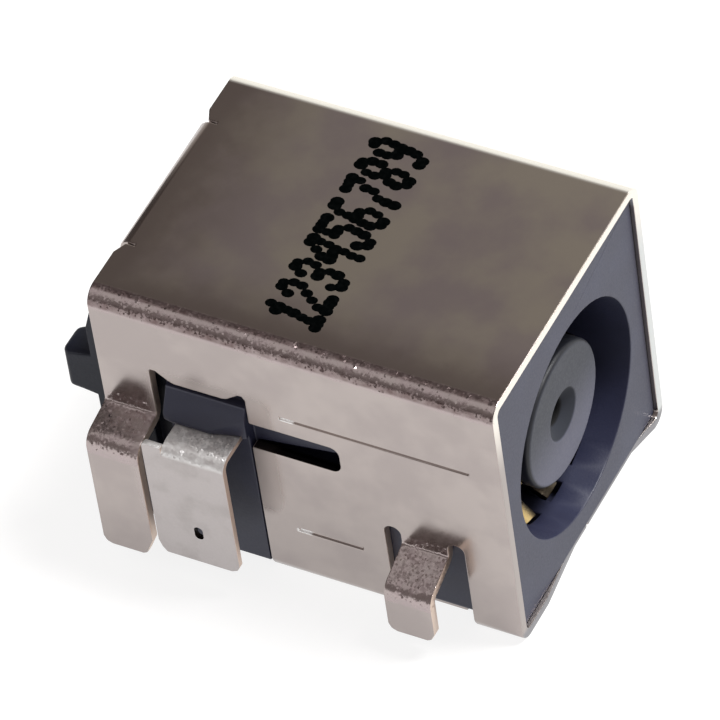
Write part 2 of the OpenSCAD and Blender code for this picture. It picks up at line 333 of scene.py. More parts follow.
@dataclass
class Surface:
    """A material's node tree, with places on the jack in millimetres.

    Args:
        name: the material's name
    """

    name: str
    material: bpy.types.Material = field(init=False)
    tree: bpy.types.NodeTree = field(init=False)
    shader: Node = field(init=False)
    place: Node = field(init=False)
    axes: Node = field(init=False)
    facing: Node = field(init=False)

    def __post_init__(self) -> None:
        """Makes the empty material with its coordinates."""
        self.material = bpy.data.materials.new(self.name)
        self.material.use_nodes = True
        self.tree = self.material.node_tree
        self.shader = self.tree.nodes["Principled BSDF"]
        coordinates = add(self.tree, "ShaderNodeTexCoord")
        self.place = add(self.tree, "ShaderNodeMapping", {
            "Vector": coordinates.outputs["Object"], "Scale": (1 / MM,) * 3})
        self.axes = add(self.tree, "ShaderNodeSeparateXYZ", {0: self.place})
        self.facing = add(self.tree, "ShaderNodeSeparateXYZ", {0: coordinates.outputs["Normal"]})

    @property
    def off_middle(self) -> Node:
        """Distance from the jack's middle in millimetres, to either side."""
        return add(self.tree, MATH, {0: self.axes.outputs[0]}, **UNSIGNED)

    def grain(self, size: float, detail: float = 2.0,
              stretch: tuple[float, float, float] = (1, 1, 1)) -> Node:
        """Noise whose blobs are about a given size.

        Args:
            size: width of a blob in millimetres
            detail: octaves of finer noise on top
            stretch: how much longer the blobs are along each axis

        Returns:
            the noise, from 0 to 1
        """
        scaled = add(self.tree, "ShaderNodeMapping", {
            "Vector": self.place, "Scale": tuple(1 / (size * s) for s in stretch)})
        return add(self.tree, "ShaderNodeTexNoise", {
            "Vector": scaled, "Scale": 1.0, "Detail": detail})

    def region(self, **spans: tuple[float, ...]) -> Node:
        """Finds one region of the jack.

        Args:
            spans: for x, y or z, two places between which the mask rises from 0 to 1; or the
                region's low end, its high end and the distance over which both ends fade

        Returns:
            the mask
        """
        mask = None
        for axis, (low, high, *fade) in spans.items():
            ends = ((low - fade[0], low), (high + fade[0], high)) if fade else ((low, high),)
            for outside, inside in ends:
                end = add(self.tree, RAMP, {GIVEN: self.axes.outputs[axis.upper()],
                                            LOW: outside, HIGH: inside}, **SOFT)
                mask = add(self.tree, MATH, {0: mask, 1: end}, **TIMES) if mask else end
        return mask

    def crystals(self, size: float, tilt: Node) -> Node:
        """Normals of a plating whose grains each face their own way.

        Args:
            size: width of a grain in millimetres
            tilt: how far the grains lean, from 0 for none to 1, which is about 8 degrees for
                most and 25 for a few

        Returns:
            the normal
        """
        grains = add(self.tree, "ShaderNodeTexVoronoi", {"Vector": self.place, "Scale": 1 / size})
        lean = add(self.tree, VECTOR, {0: grains.outputs["Color"], 1: (0.5, 0.5, 0.5)},
                   operation="SUBTRACT")
        chance = add(self.tree, "ShaderNodeSeparateXYZ", {0: grains.outputs["Color"]})
        rare = add(self.tree, RAMP, {GIVEN: chance.outputs[2], LOW: 0.84, HIGH: 0.9,
                                     OUT_LOW: 0.3, OUT_HIGH: 1.0})
        tilt = add(self.tree, MATH, {0: rare, 1: tilt}, **TIMES)
        lean = add(self.tree, VECTOR, {0: lean, "Scale": tilt}, operation="SCALE")
        plain = add(self.tree, "ShaderNodeNewGeometry").outputs["Normal"]
        leaning = add(self.tree, VECTOR, {0: plain, 1: lean}, operation="ADD")
        return add(self.tree, VECTOR, {0: leaning}, operation="NORMALIZE")

    def connect(self, **sockets: Node) -> None:
        """Feeds the shader's sockets, with underscores for the spaces in their names."""
        for socket, node in sockets.items():
            output = next(output for output in node.outputs if output.enabled)
            self.tree.links.new(output, self.shader.inputs[socket.replace("_", " ")])


@dataclass(frozen=True)
class NickelSheet:
    """Satin nickel over stamped and folded brass sheet.

    The walls are a smooth light warm grey, the roof is smudged from handling and a little darker,
    partly as painted shade, the plating is broken into fine crystals where the sheet was stretched over
    the bends, and the sheared edges are paler and more matt. Light and shade are also painted in: shade
    on the roof towards its rear and near side, dark reflection lines beside the near top corner,
    highlights on the far top corner and the coined lines' rear ends, lit and shaded tones on the
    mouth's cut edge, shade on the cut edges low under the jack and on the key slots' lower edges, and a
    paler, less mirrored patch round the side windows that weakens the wall's reflection of the pads.

    Args:
        wall: colour of the walls
        wall_cloud: colour of the faint clouds on them
        window_painted_light: painted light, a paler colour round the side windows that weakens the
            pads' reflection
        roof: colour of the roof, a little darker than the walls, partly as painted shade
        roof_smudge: colour of the smudges on it
        roof_shade: painted shade on the roof, darker towards the rear edge and the near corner
        roof_edge_shade: painted shade in bands along that edge and that corner
        bend: colour of the stretched bends
        corner_dark_reflection: painted dark reflection, in lines beside the near top corner
        far_bend_highlight: painted highlight on the far top corner
        line_end_highlight: painted highlight at the coined lines' rear ends
        mouth_top_lit: painted highlight on the mouth's cut edge along the roof
        mouth_near_lit: painted light on that edge on the near side
        mouth_far_lit: painted light, brighter, on that edge on the far side
        mouth_under_shaded: painted shade on the cut edges low under the jack, the mouth's underside
            among them
        sheared: colour of the other cut edges
        shade: colour of the key slots' lower edges
        roughness: how matt the walls are
        window_patch_roughness: how matt the painted patch round the windows and the coined lines' ends
            are
        window_patch_metal: how much of the metal's mirror shows through that patch and those ends
        roof_roughness: how matt the roof is
        bend_roughness: how matt the bends are
        sheared_roughness: how matt the cut edges are
        tint: how much of their own colour covers the bends, and of the painted shade the roof's bands
        crystal: width of a crystal in millimetres
        cloud: width of a cloud on the walls
        satin: width of the satin's unevenness
        smudge: width of a smudge on the roof
    """

    wall: str = "#ACA39F"
    wall_cloud: str = "#A39A97"
    window_painted_light: str = "#B9AFAB"
    roof: str = "#A2988D"
    roof_smudge: str = "#948887"
    roof_shade: str = "#776B66"
    roof_edge_shade: str = "#6E635E"
    bend: str = "#AFA0A1"
    corner_dark_reflection: str = "#6F5F5E"
    far_bend_highlight: str = "#F6F3EC"
    line_end_highlight: str = "#FFFFFF"
    mouth_top_lit: str = "#EFE9E0"
    mouth_near_lit: str = "#A9A19D"
    mouth_far_lit: str = "#CFD2D1"
    mouth_under_shaded: str = "#8C8B8E"
    sheared: str = "#D9C6B8"
    shade: str = "#2E2826"
    roughness: float = 0.17
    window_patch_roughness: float = 0.4
    window_patch_metal: float = 0.6
    roof_roughness: float = 0.3
    bend_roughness: float = 0.3
    sheared_roughness: float = 0.42
    tint: float = 0.8
    crystal: float = 0.065
    cloud: float = 2.0
    satin: float = 0.5
    smudge: float = 2.4

    def material(self) -> bpy.types.Material:
        """Builds the finish.

        Returns:
            the material
        """
        s = Surface("satin_nickel_plated_sheet")
        on_roof = self.roof_mask(s)
        stretched = self.stretched(s)
        sheared = self.sheared_mask(s)
        # Painted light: a paler, less mirrored patch round the side windows, which weakens the wall's
        # reflection of the pads.
        window_patch = s.region(y=(*SIZES.window_y, 0.6), z=(*SIZES.window_z, 0.9))
        # Painted highlight on the far top corner.
        far_highlight = s.region(x=(4.42, 4.55), z=(9.6, 9.9))
        # Painted highlights at the coined lines' rear ends.
        line_end_glints = self.line_end_glints(s)
        dull = add(s.tree, MATH, {0: window_patch, 1: line_end_glints}, **LARGER)
        tinted = add(s.tree, MATH, {0: stretched, 1: self.tint}, **TIMES)
        clouds = add(s.tree, RAMP, {GIVEN: s.grain(self.cloud, 3.0), LOW: 0.35, HIGH: 0.65}, **SOFT)
        colour = add(s.tree, MIX, {MASK: clouds, UNDER: linear(self.wall),
                                   OVER: linear(self.wall_cloud)}, **COLOUR)
        for mask, tone in ((window_patch, linear(self.window_painted_light)),
                           (on_roof, self.roof_colour(s)),
                           (tinted, linear(self.bend)),
                           (self.corner_reflection_lines(s), linear(self.corner_dark_reflection)),
                           (far_highlight, linear(self.far_bend_highlight)),
                           (line_end_glints, linear(self.line_end_highlight)),
                           (self.slot_edge(s), linear(self.shade)),
                           (sheared, self.edge_colour(s))):
            colour = add(s.tree, MIX, {MASK: mask, UNDER: colour, OVER: tone}, **COLOUR)
        rough = add(s.tree, RAMP, {GIVEN: s.grain(self.satin, 3.0), LOW: 0.3, HIGH: 0.7,
                                   OUT_LOW: self.roughness - 0.02,
                                   OUT_HIGH: self.roughness + 0.03})
        for mask, value in ((on_roof, self.roof_roughness),
                            (stretched, self.bend_roughness),
                            (sheared, self.sheared_roughness),
                            (dull, self.window_patch_roughness)):
            rough = add(s.tree, MIX, {MASK: mask, UNDER_VALUE: rough, OVER_VALUE: value})
        metal = add(s.tree, RAMP, {GIVEN: dull, OUT_LOW: 1.0, OUT_HIGH: self.window_patch_metal})
        s.connect(Base_Color=colour, Roughness=rough, Metallic=metal,
                  Normal=s.crystals(self.crystal, stretched))
        return s.material

    def slot_edge(self, s: Surface) -> Node:
        """Finds the key slots' lower cut edge, which lies in the slot's shade.

        Args:
            s: the surface being built

        Returns:
            the mask
        """
        up = add(s.tree, RAMP, {GIVEN: s.facing.outputs[2], LOW: 0.3, HIGH: 0.7})
        slot = s.region(y=(*SIZES.slot_y, 0.05), z=(*SIZES.slot_floor, 0.05))
        return add(s.tree, MATH, {0: up, 1: slot}, **TIMES)

    def corner_reflection_lines(self, s: Surface) -> Node:
        """Finds where the near top corner runs out into the roof and the wall, for lines painted as a
        dark reflection.

        Args:
            s: the surface being built

        Returns:
            the mask, patchy as the plating is
        """
        into_roof = s.region(x=(-4.68, -4.54, 0.07), z=(10.2, 10.4))
        into_wall = s.region(x=(-4.8, -4.9), z=(10.06, 10.2, 0.12))
        both = add(s.tree, MATH, {0: into_roof, 1: into_wall}, **LARGER)
        patchy = add(s.tree, RAMP, {GIVEN: s.grain(0.3, 3.0), LOW: 0.25, HIGH: 0.7,
                                    OUT_LOW: 0.35, OUT_HIGH: 1.0})
        return add(s.tree, MATH, {0: both, 1: patchy}, **TIMES)

    def line_end_glints(self, s: Surface) -> Node:
        """Finds the spots where the coined lines end towards the rear, for a painted highlight.

        Args:
            s: the surface being built

        Returns:
            the mask
        """
        lines = add(s.tree, MATH, {0: s.region(z=(*SIZES.upper_line, 0.03)),
                                   1: s.region(z=(*SIZES.lower_line, 0.03))}, **LARGER)
        ends = s.region(x=(-4.5, -4.7), y=(*SIZES.line_end, 0.14))
        return add(s.tree, MATH, {0: lines, 1: ends}, **TIMES)

    def edge_colour(self, s: Surface) -> Node:
        """Colours the cut edges: one tone along the sheet, painted light round the mouth, painted shade
        low under the jack.

        Args:
            s: the surface being built

        Returns:
            the colour
        """
        edge = add(s.tree, MIX, {MASK: s.region(y=(0.2, 0.1)), UNDER: linear(self.sheared),
                                 OVER: self.mouth_painted_light(s)}, **COLOUR)
        inboard = add(s.tree, RAMP, {GIVEN: s.off_middle, LOW: 5.2, HIGH: 4.9}, **SOFT)
        # Painted shade on the cut edges low under the jack.
        under_shade = add(s.tree, MATH, {0: s.region(z=(0.6, 0.3)), 1: inboard}, **TIMES)
        return add(s.tree, MIX, {MASK: under_shade, UNDER: edge, OVER: linear(self.mouth_under_shaded)}, **COLOUR)

    def mouth_painted_light(self, s: Surface) -> Node:
        """Paints light on the cut edge round the mouth: a highlight along the roof, greyer lower down.
        """
        side = add(s.tree, MIX, {MASK: s.region(x=(-2.0, 4.5)), UNDER: linear(self.mouth_near_lit),
                                 OVER: linear(self.mouth_far_lit)}, **COLOUR)
        return add(s.tree, MIX, {MASK: s.region(z=(7.5, 10.2)), UNDER: side,
                                 OVER: linear(self.mouth_top_lit)}, **COLOUR)

    def roof_mask(self, s: Surface) -> Node:
        """Finds the flat top of the roof."""
        up = add(s.tree, RAMP, {GIVEN: s.facing.outputs[2], LOW: 0.86, HIGH: 0.99}, **SOFT)
        return add(s.tree, MATH, {0: up, 1: s.region(z=(10.1, 10.3))}, **TIMES)

    def roof_colour(self, s: Surface) -> Node:
        """Smudges the roof and paints shade on it, darkest along its rear edge and the near corner.

        Args:
            s: the surface being built

        Returns:
            the colour
        """
        smudges = add(s.tree, RAMP, {GIVEN: s.grain(self.smudge, 4.0), LOW: 0.35, HIGH: 0.68}, **SOFT)
        colour = add(s.tree, MIX, {MASK: smudges, UNDER: linear(self.roof),
                                   OVER: linear(self.roof_smudge)}, **COLOUR)
        # Painted shade: darker towards the rear and the near side.
        rear_near_shade = add(s.tree, MATH, {0: s.region(y=(9.5, 13.0)), 1: s.region(x=(-2.2, -4.4))}, **LARGER)
        patchy = add(s.tree, RAMP, {GIVEN: s.grain(0.8, 3.0), LOW: 0.2, HIGH: 0.8,
                                    OUT_LOW: 0.5, OUT_HIGH: 1.0})
        rear_near_shade = add(s.tree, MATH, {0: rear_near_shade, 1: patchy}, **TIMES)
        # Painted shade in bands along the rear edge and the near corner.
        edge_shade_strips = add(s.tree, MATH, {0: s.region(y=(12.3, 13.2)), 1: s.region(x=(-3.6, -4.5))}, **LARGER)
        edge_shade_strips = add(s.tree, MATH, {0: edge_shade_strips, 1: self.tint}, **TIMES)
        colour = add(s.tree, MIX, {MASK: edge_shade_strips, UNDER: colour, OVER: linear(self.roof_edge_shade)}, **COLOUR)
        return add(s.tree, MIX, {MASK: rear_near_shade, UNDER: colour, OVER: linear(self.roof_shade)}, **COLOUR)

    def stretched(self, s: Surface) -> Node:
        """Finds the sheet's bends: the long top corner on the near side and the legs' jogs.

        Args:
            s: the surface being built

        Returns:
            the mask, patchy as the plating is
        """
        corner = s.region(x=(-4.45, -4.6), z=(9.8, 9.95))
        outside = add(s.tree, RAMP, {GIVEN: s.off_middle, LOW: SIZES.wall_x - 0.03,
                                     HIGH: SIZES.wall_x + 0.02}, **SOFT)
        front = s.region(y=(*SIZES.front_leg_y, 0.04), z=(*SIZES.front_jog, 0.12))
        rear = s.region(y=SIZES.rear_leg_y, z=(*SIZES.rear_jog, 0.12))
        jog = add(s.tree, MATH, {0: front, 1: rear}, **LARGER)
        jog = add(s.tree, MATH, {0: jog, 1: outside}, **TIMES)
        bends = add(s.tree, MATH, {0: corner, 1: jog}, **LARGER)
        patchy = add(s.tree, RAMP, {GIVEN: s.grain(0.35, 2.0), LOW: 0.3, HIGH: 0.7,
                                    OUT_LOW: 0.35, OUT_HIGH: 1.0})
        return add(s.tree, MATH, {0: bends, 1: patchy}, **TIMES)

    def sheared_mask(self, s: Surface) -> Node:
        """Finds the cut edges that face the front or the rear.

        Args:
            s: the surface being built

        Returns:
            the mask
        """
        along = add(s.tree, MATH, {0: s.facing.outputs[1]}, **UNSIGNED)
        edge_on = add(s.tree, RAMP, {GIVEN: along, LOW: 0.75, HIGH: 0.9}, **SOFT)
        off_flap = add(s.tree, MATH, {0: 1.0, 1: s.region(y=(*SIZES.flap_y, 0.1))},
                       operation="SUBTRACT")
        return add(s.tree, MATH, {0: edge_on, 1: off_flap}, **TIMES)


@dataclass(frozen=True)
class MouldedNylon:
    """Glass-filled black nylon from a fine spark-eroded mould: blue-grey sheen on near-black.

    Args:
        name: the material's name
        body: colour of the plastic
        pale: colour of its paler flow marks
        roughness: how matt the mould left it
        gloss: strength of the surface's mirror, 0.5 for a polished face
        flow: width of a flow mark in millimetres
        pit: width of a pit of the mould's erosion
        pit_depth: depth of a pit
        ior: the plastic's index of refraction
    """

    name: str
    body: str
    pale: str
    roughness: float = 0.45
    gloss: float = 0.4
    flow: float = 1.6
    pit: float = 0.07
    pit_depth: float = 0.003
    ior: float = 1.53

    def material(self) -> bpy.types.Material:
        """Builds the finish.

        Returns:
            the material
        """
        s = Surface(self.name)
        flow = add(s.tree, RAMP, {GIVEN: s.grain(self.flow, 3.0, (1, 2, 1)), LOW: 0.35,
                                  HIGH: 0.75}, **SOFT)
        pits = s.grain(self.pit, 2.0)
        colour = add(s.tree, MIX, {MASK: flow, UNDER: linear(self.body), OVER: linear(self.pale)},
                     **COLOUR)
        rough = add(s.tree, RAMP, {GIVEN: pits, LOW: 0.2, HIGH: 0.8,
                                   OUT_LOW: self.roughness - 0.05,
                                   OUT_HIGH: self.roughness + 0.08})
        skin = add(s.tree, BUMP, {"Height": pits, "Strength": 1.0,
                                  "Distance": self.pit_depth * MM})
        s.shader.inputs["IOR"].default_value = self.ior
        s.shader.inputs["Specular IOR Level"].default_value = self.gloss
        s.connect(Base_Color=self.worked(s, colour), Roughness=self.matted(s, rough), Normal=skin)
        return s.material

    def worked(self, s: Surface, colour: Node) -> Node:
        """Leaves the colour as moulded; a finish with more to it overrides this."""
        return colour

    def matted(self, s: Surface, rough: Node) -> Node:
        """Leaves the roughness as moulded; a finish with more to it overrides this."""
        return rough


@dataclass(frozen=True)
class PostNylon(MouldedNylon):
    """The post's nylon, with painted light paler low on its face and painted shade on its sides, the
    lead-in and the pin's hole.

    Args:
        low: painted light, paler, on the face towards the bottom
        shaded_flank: painted shade on what doesn't face the mouth
        shaded_cone: painted shade on the lead-in round the pin's hole
        hole: painted shade inside the hole
        cone_rim: distances from the axis between which the lead-in's rim lies
        hole_rim: distances from the axis between which the hole's rim lies
        tool_mark: how matt the lead-in and the hole are
    """

    low: str = "#4D4E5E"
    shaded_flank: str = "#16181F"
    shaded_cone: str = "#22252D"
    hole: str = "#020203"
    cone_rim: Span = (0.82, 0.9)
    hole_rim: Span = (0.42, 0.5)
    tool_mark: float = 0.95

    def worked(self, s: Surface, colour: Node) -> Node:
        """Paints light on the face, paler downwards, and paints shade on its sides, the lead-in and the
        hole.

        Args:
            s: the surface being built
            colour: the plastic's colour as moulded

        Returns:
            the colour as used
        """
        aside = add(s.tree, RAMP, {GIVEN: s.facing.outputs[1], LOW: -0.96, HIGH: -0.8}, **SOFT)
        # Painted light low on the face; painted shade on the sides, the lead-in and the hole.
        for mask, tone in ((s.region(z=(6.0, 3.2)), self.low), (aside, self.shaded_flank),
                           (self.within(s, self.cone_rim), self.shaded_cone),
                           (self.within(s, self.hole_rim), self.hole)):
            colour = add(s.tree, MIX, {MASK: mask, UNDER: colour, OVER: linear(tone)}, **COLOUR)
        return colour

    def matted(self, s: Surface, rough: Node) -> Node:
        """Takes the sheen off the lead-in and the hole, where the mould tool was left rough."""
        inside = self.within(s, self.cone_rim)
        return add(s.tree, MIX, {MASK: inside, UNDER_VALUE: rough, OVER_VALUE: self.tool_mark})

    def within(self, s: Surface, rim: Span) -> Node:
        """Finds what lies inside a circle round the plug's axis.

        Args:
            s: the surface being built
            rim: distances from the axis between which the mask fades out

        Returns:
            the mask
        """
        flat = add(s.tree, VECTOR, {0: s.place, 1: (1, 0, 1), 2: (0, 0, -SIZES.axis_z)},
                   operation="MULTIPLY_ADD")
        off_axis = add(s.tree, VECTOR, {0: flat}, operation="LENGTH")
        return add(s.tree, RAMP, {GIVEN: off_axis, LOW: rim[1], HIGH: rim[0]}, **SOFT)


@dataclass(frozen=True)
class PlatedStrip:
    """Spring strip with matt tin on the solder tail and gold on the contact.

    The tin is a soft silver grey with a few stains; on the upward faces where the tail steps outwards
    its crystals lean and a highlight is painted, near white and less mirrored. The gold is bright
    towards the near side and painted brown as shade towards the middle and the far side.

    Args:
        name: the material's name
        tin_from: distance from the middle, in millimetres, where the tin begins
        tin: colour of the tin
        tin_stain: colour of its stains
        lit_jog: painted highlight, near white, on the upward faces of the tail's jog
        tail_hole_shade: painted shade inside the tail's small hole
        gold: colour of the gold towards the near side, where it is lit
        shaded_gold: painted shade, a browner gold, towards the middle and the far side
        sheared: colour of the cut edges
        roughness: how matt the tin is
        gold_roughness: how matt the gold is
        lit_jog_metal: how much of the metal's mirror shows through the painted highlight
        crystal: width of a crystal on the tail's jog, in millimetres
        grain: width of the tin's grain
        grain_depth: depth of that grain
    """

    name: str
    tin_from: float
    tin: str = "#B3ADAC"
    tin_stain: str = "#A09A98"
    lit_jog: str = "#E6E6E5"
    tail_hole_shade: str = "#2A2420"
    gold: str = "#E2C68C"
    shaded_gold: str = "#5E564A"
    sheared: str = "#D6C2B4"
    roughness: float = 0.4
    gold_roughness: float = 0.25
    lit_jog_metal: float = 0.55
    crystal: float = 0.06
    grain: float = 0.08
    grain_depth: float = 0.004

    def material(self) -> bpy.types.Material:
        """Builds the finish.

        Returns:
            the material
        """
        s = Surface(self.name)
        tinned = add(s.tree, RAMP, {GIVEN: s.off_middle, LOW: self.tin_from,
                                    HIGH: self.tin_from + 0.2}, **SOFT)
        stains = add(s.tree, RAMP, {GIVEN: s.grain(0.9, 4.0), LOW: 0.42, HIGH: 0.72,
                                    OUT_HIGH: 0.55}, **SOFT)
        tin = add(s.tree, MIX, {MASK: stains, UNDER: linear(self.tin),
                                OVER: linear(self.tin_stain)}, **COLOUR)
        # Painted shade: the gold goes browner towards the middle and the far side.
        gold = add(s.tree, MIX, {MASK: s.region(x=(-1.0, -1.6)), UNDER: linear(self.shaded_gold),
                                 OVER: linear(self.gold)}, **COLOUR)
        along = add(s.tree, MATH, {0: s.facing.outputs[1]}, **UNSIGNED)
        edge_on = add(s.tree, RAMP, {GIVEN: along, LOW: 0.8, HIGH: 0.95}, **SOFT)
        sheared = add(s.tree, MATH, {0: edge_on, 1: tinned}, **TIMES)
        # Painted highlight on the upward faces of the tail's jog.
        bent = self.bent(s)
        colour = add(s.tree, MIX, {MASK: tinned, UNDER: gold, OVER: tin}, **COLOUR)
        for mask, tone in ((sheared, self.sheared), (bent, self.lit_jog),
                           (self.in_hole(s), self.tail_hole_shade)):
            colour = add(s.tree, MIX, {MASK: mask, UNDER: colour, OVER: linear(tone)}, **COLOUR)
        grain = s.grain(self.grain, 3.0)
        matt = add(s.tree, RAMP, {GIVEN: grain, LOW: 0.2, HIGH: 0.8,
                                  OUT_LOW: self.roughness - 0.06,
                                  OUT_HIGH: self.roughness + 0.08})
        rough = add(s.tree, MIX, {MASK: tinned, UNDER_VALUE: self.gold_roughness, OVER_VALUE: matt})
        metal = add(s.tree, RAMP, {GIVEN: bent, OUT_LOW: 1.0, OUT_HIGH: self.lit_jog_metal})
        skin = add(s.tree, BUMP, {"Height": grain, "Strength": 1.0,
                                  "Distance": self.grain_depth * MM,
                                  "Normal": s.crystals(self.crystal, bent)})
        s.connect(Base_Color=colour, Roughness=rough, Metallic=metal, Normal=skin)
        return s.material

    def in_hole(self, s: Surface) -> Node:
        """Finds the inside of the foot's small hole, where shade is painted.

        Args:
            s: the surface being built

        Returns:
            the mask
        """
        sideways = add(s.tree, MATH, {0: s.facing.outputs[0]}, **UNSIGNED)
        inside = add(s.tree, RAMP, {GIVEN: sideways, LOW: 0.9, HIGH: 0.6})
        around = s.region(y=(*SIZES.hole_y, 0.04), z=(*SIZES.hole_z, 0.04))
        return add(s.tree, MATH, {0: inside, 1: around}, **TIMES)

    def bent(self, s: Surface) -> Node:
        """Finds the upward faces of the tail's jog, where a highlight is painted and the crystals lean.

        Args:
            s: the surface being built

        Returns:
            the mask, brightest along the lower bend
        """
        outside = add(s.tree, RAMP, {GIVEN: s.off_middle, LOW: self.tin_from + 0.7,
                                     HIGH: self.tin_from + 0.9}, **SOFT)
        up = add(s.tree, RAMP, {GIVEN: s.facing.outputs[2], LOW: 0.05, HIGH: 0.35}, **SOFT)
        patchy = add(s.tree, RAMP, {GIVEN: s.grain(0.25, 3.0), LOW: 0.25, HIGH: 0.7,
                                    OUT_LOW: 0.5, OUT_HIGH: 1.0})
        mask = add(s.tree, MATH, {0: outside, 1: up}, **TIMES)
        return add(s.tree, MATH, {0: mask, 1: patchy}, **TIMES)


@dataclass(frozen=True)
class JetInk:
    """Matt black ink jetted in drops, a little uneven where the drops dried.

    Args:
        black: colour of the ink
        dried: colour where it dried thin
        ior: the ink's index of refraction
    """

    black: str = "#020303"
    dried: str = "#060707"
    ior: float = 1.45

    def material(self) -> bpy.types.Material:
        """Builds the finish.

        Returns:
            the material
        """
        s = Surface("jetted_black_ink")
        uneven = s.grain(0.15, 2.0)
        dry = add(s.tree, RAMP, {GIVEN: uneven, LOW: 0.4, HIGH: 0.8}, **SOFT)
        colour = add(s.tree, MIX, {MASK: dry, UNDER: linear(self.black), OVER: linear(self.dried)},
                     **COLOUR)
        rough = add(s.tree, RAMP, {GIVEN: uneven, LOW: 0.2, HIGH: 0.8, OUT_LOW: 0.7,
                                   OUT_HIGH: 0.85})
        s.shader.inputs["IOR"].default_value = self.ior
        s.shader.inputs["Specular IOR Level"].default_value = 0.0
        s.connect(Base_Color=colour, Roughness=rough)
        return s.material


# ---- Sub-assemblies ----


@dataclass
class FoldedShell:
    """Nickel-plated shell with its jogged legs.

    Args:
        edge: rounding of the sheared edges in millimetres
        finish: the shell's plating
    """

    edge: float = 0.06
    finish: NickelSheet = NickelSheet()

    def build(self) -> Piece:
        """Rounds the sheared edges of the folded sheet and plates it."""
        shell = copy_of_node(Part.SHELL, "folded_shell")
        return complete(shell, Part.SHELL, self.edge, self.finish.material())


@dataclass
class Insulators:
    """The three mouldings: housing, centre post and rear cover.

    Args:
        edge: rounding of the mouldings' edges in millimetres
        block_edge: rounding of the rear blocks' corners in millimetres
    """

    edge: float = 0.05
    block_edge: float = 0.2

    def build(self) -> list[Piece]:
        """Rounds and finishes the mouldings."""
        return [self.housing(), self.centre_post(), self.rear_cover()]

    def housing(self) -> Piece:
        """Finishes the moulding with the plug bore and the two window pads."""
        piece = copy_of_node(Part.HOUSING, "housing_moulding")
        nylon = MouldedNylon("black_nylon_housing", "#24263A", "#2A2D42")
        return complete(piece, Part.HOUSING, self.edge, nylon.material())

    def centre_post(self) -> Piece:
        """Finishes the post that the plug's barrel slides over."""
        piece = copy_of_node(Part.CENTRE_POST, "centre_post_moulding")
        nylon = PostNylon("grey_nylon_post", "#1F232E", "#242733", roughness=0.5)
        return complete(piece, Part.CENTRE_POST, self.edge, nylon.material())

    def rear_cover(self) -> Piece:
        """Finishes the cover, with the blocks that stand out behind the shell."""
        piece = copy_of_node(Part.REAR_COVER, "rear_cover_moulding")
        round_edges(piece, self.block_edge, segments=4,
                    where=lambda middle: middle.y > SIZES.block_y)
        nylon = MouldedNylon("black_nylon_rear_cover", "#171A27", "#1C1F2C", gloss=0.17)
        return complete(piece, Part.REAR_COVER, self.edge, nylon.material())


@dataclass
class Contacts:
    """The three sprung contacts.

    Args:
        edge: rounding of the stamped edges in millimetres
        tin_inside: how far the tails' tin runs in behind the shell's walls
    """

    edge: float = 0.035
    tin_inside: float = 0.6

    def build(self) -> list[Piece]:
        """Rounds and plates the contacts.

        Returns:
            the contacts
        """
        made = []
        for part in (Part.OUTER_CONTACT, Part.INNER_CONTACT, Part.PIN_CONTACT):
            strip = copy_of_node(part, f"{part.value}_strip")
            plating = PlatedStrip(f"plated_{part.value}", tin_from=SIZES.wall_x - self.tin_inside)
            made.append(complete(strip, part, self.edge, plating.material()))
        return made


DIGITS = {
    "1": ("..#.", ".##.", "..#.", "..#.", "..#.", "..#.", ".###"),
    "2": (".##.", "#..#", "...#", "..#.", ".#..", "#...", "####"),
    "3": (".##.", "#..#", "...#", ".##.", "...#", "#..#", ".##."),
    "4": ("..##", ".#.#", "#..#", "####", "...#", "...#", "...#"),
    "5": ("####", "#...", "###.", "...#", "...#", "#..#", ".##."),
    "6": (".##.", "#...", "#...", "###.", "#..#", "#..#", ".##."),
    "7": ("####", "...#", "..#.", "..#.", ".#..", ".#..", ".#.."),
    "8": (".##.", "#..#", "#..#", ".##.", "#..#", "#..#", ".##."),
    "9": (".##.", "#..#", "#..#", ".###", "...#", "...#", ".##."),
}


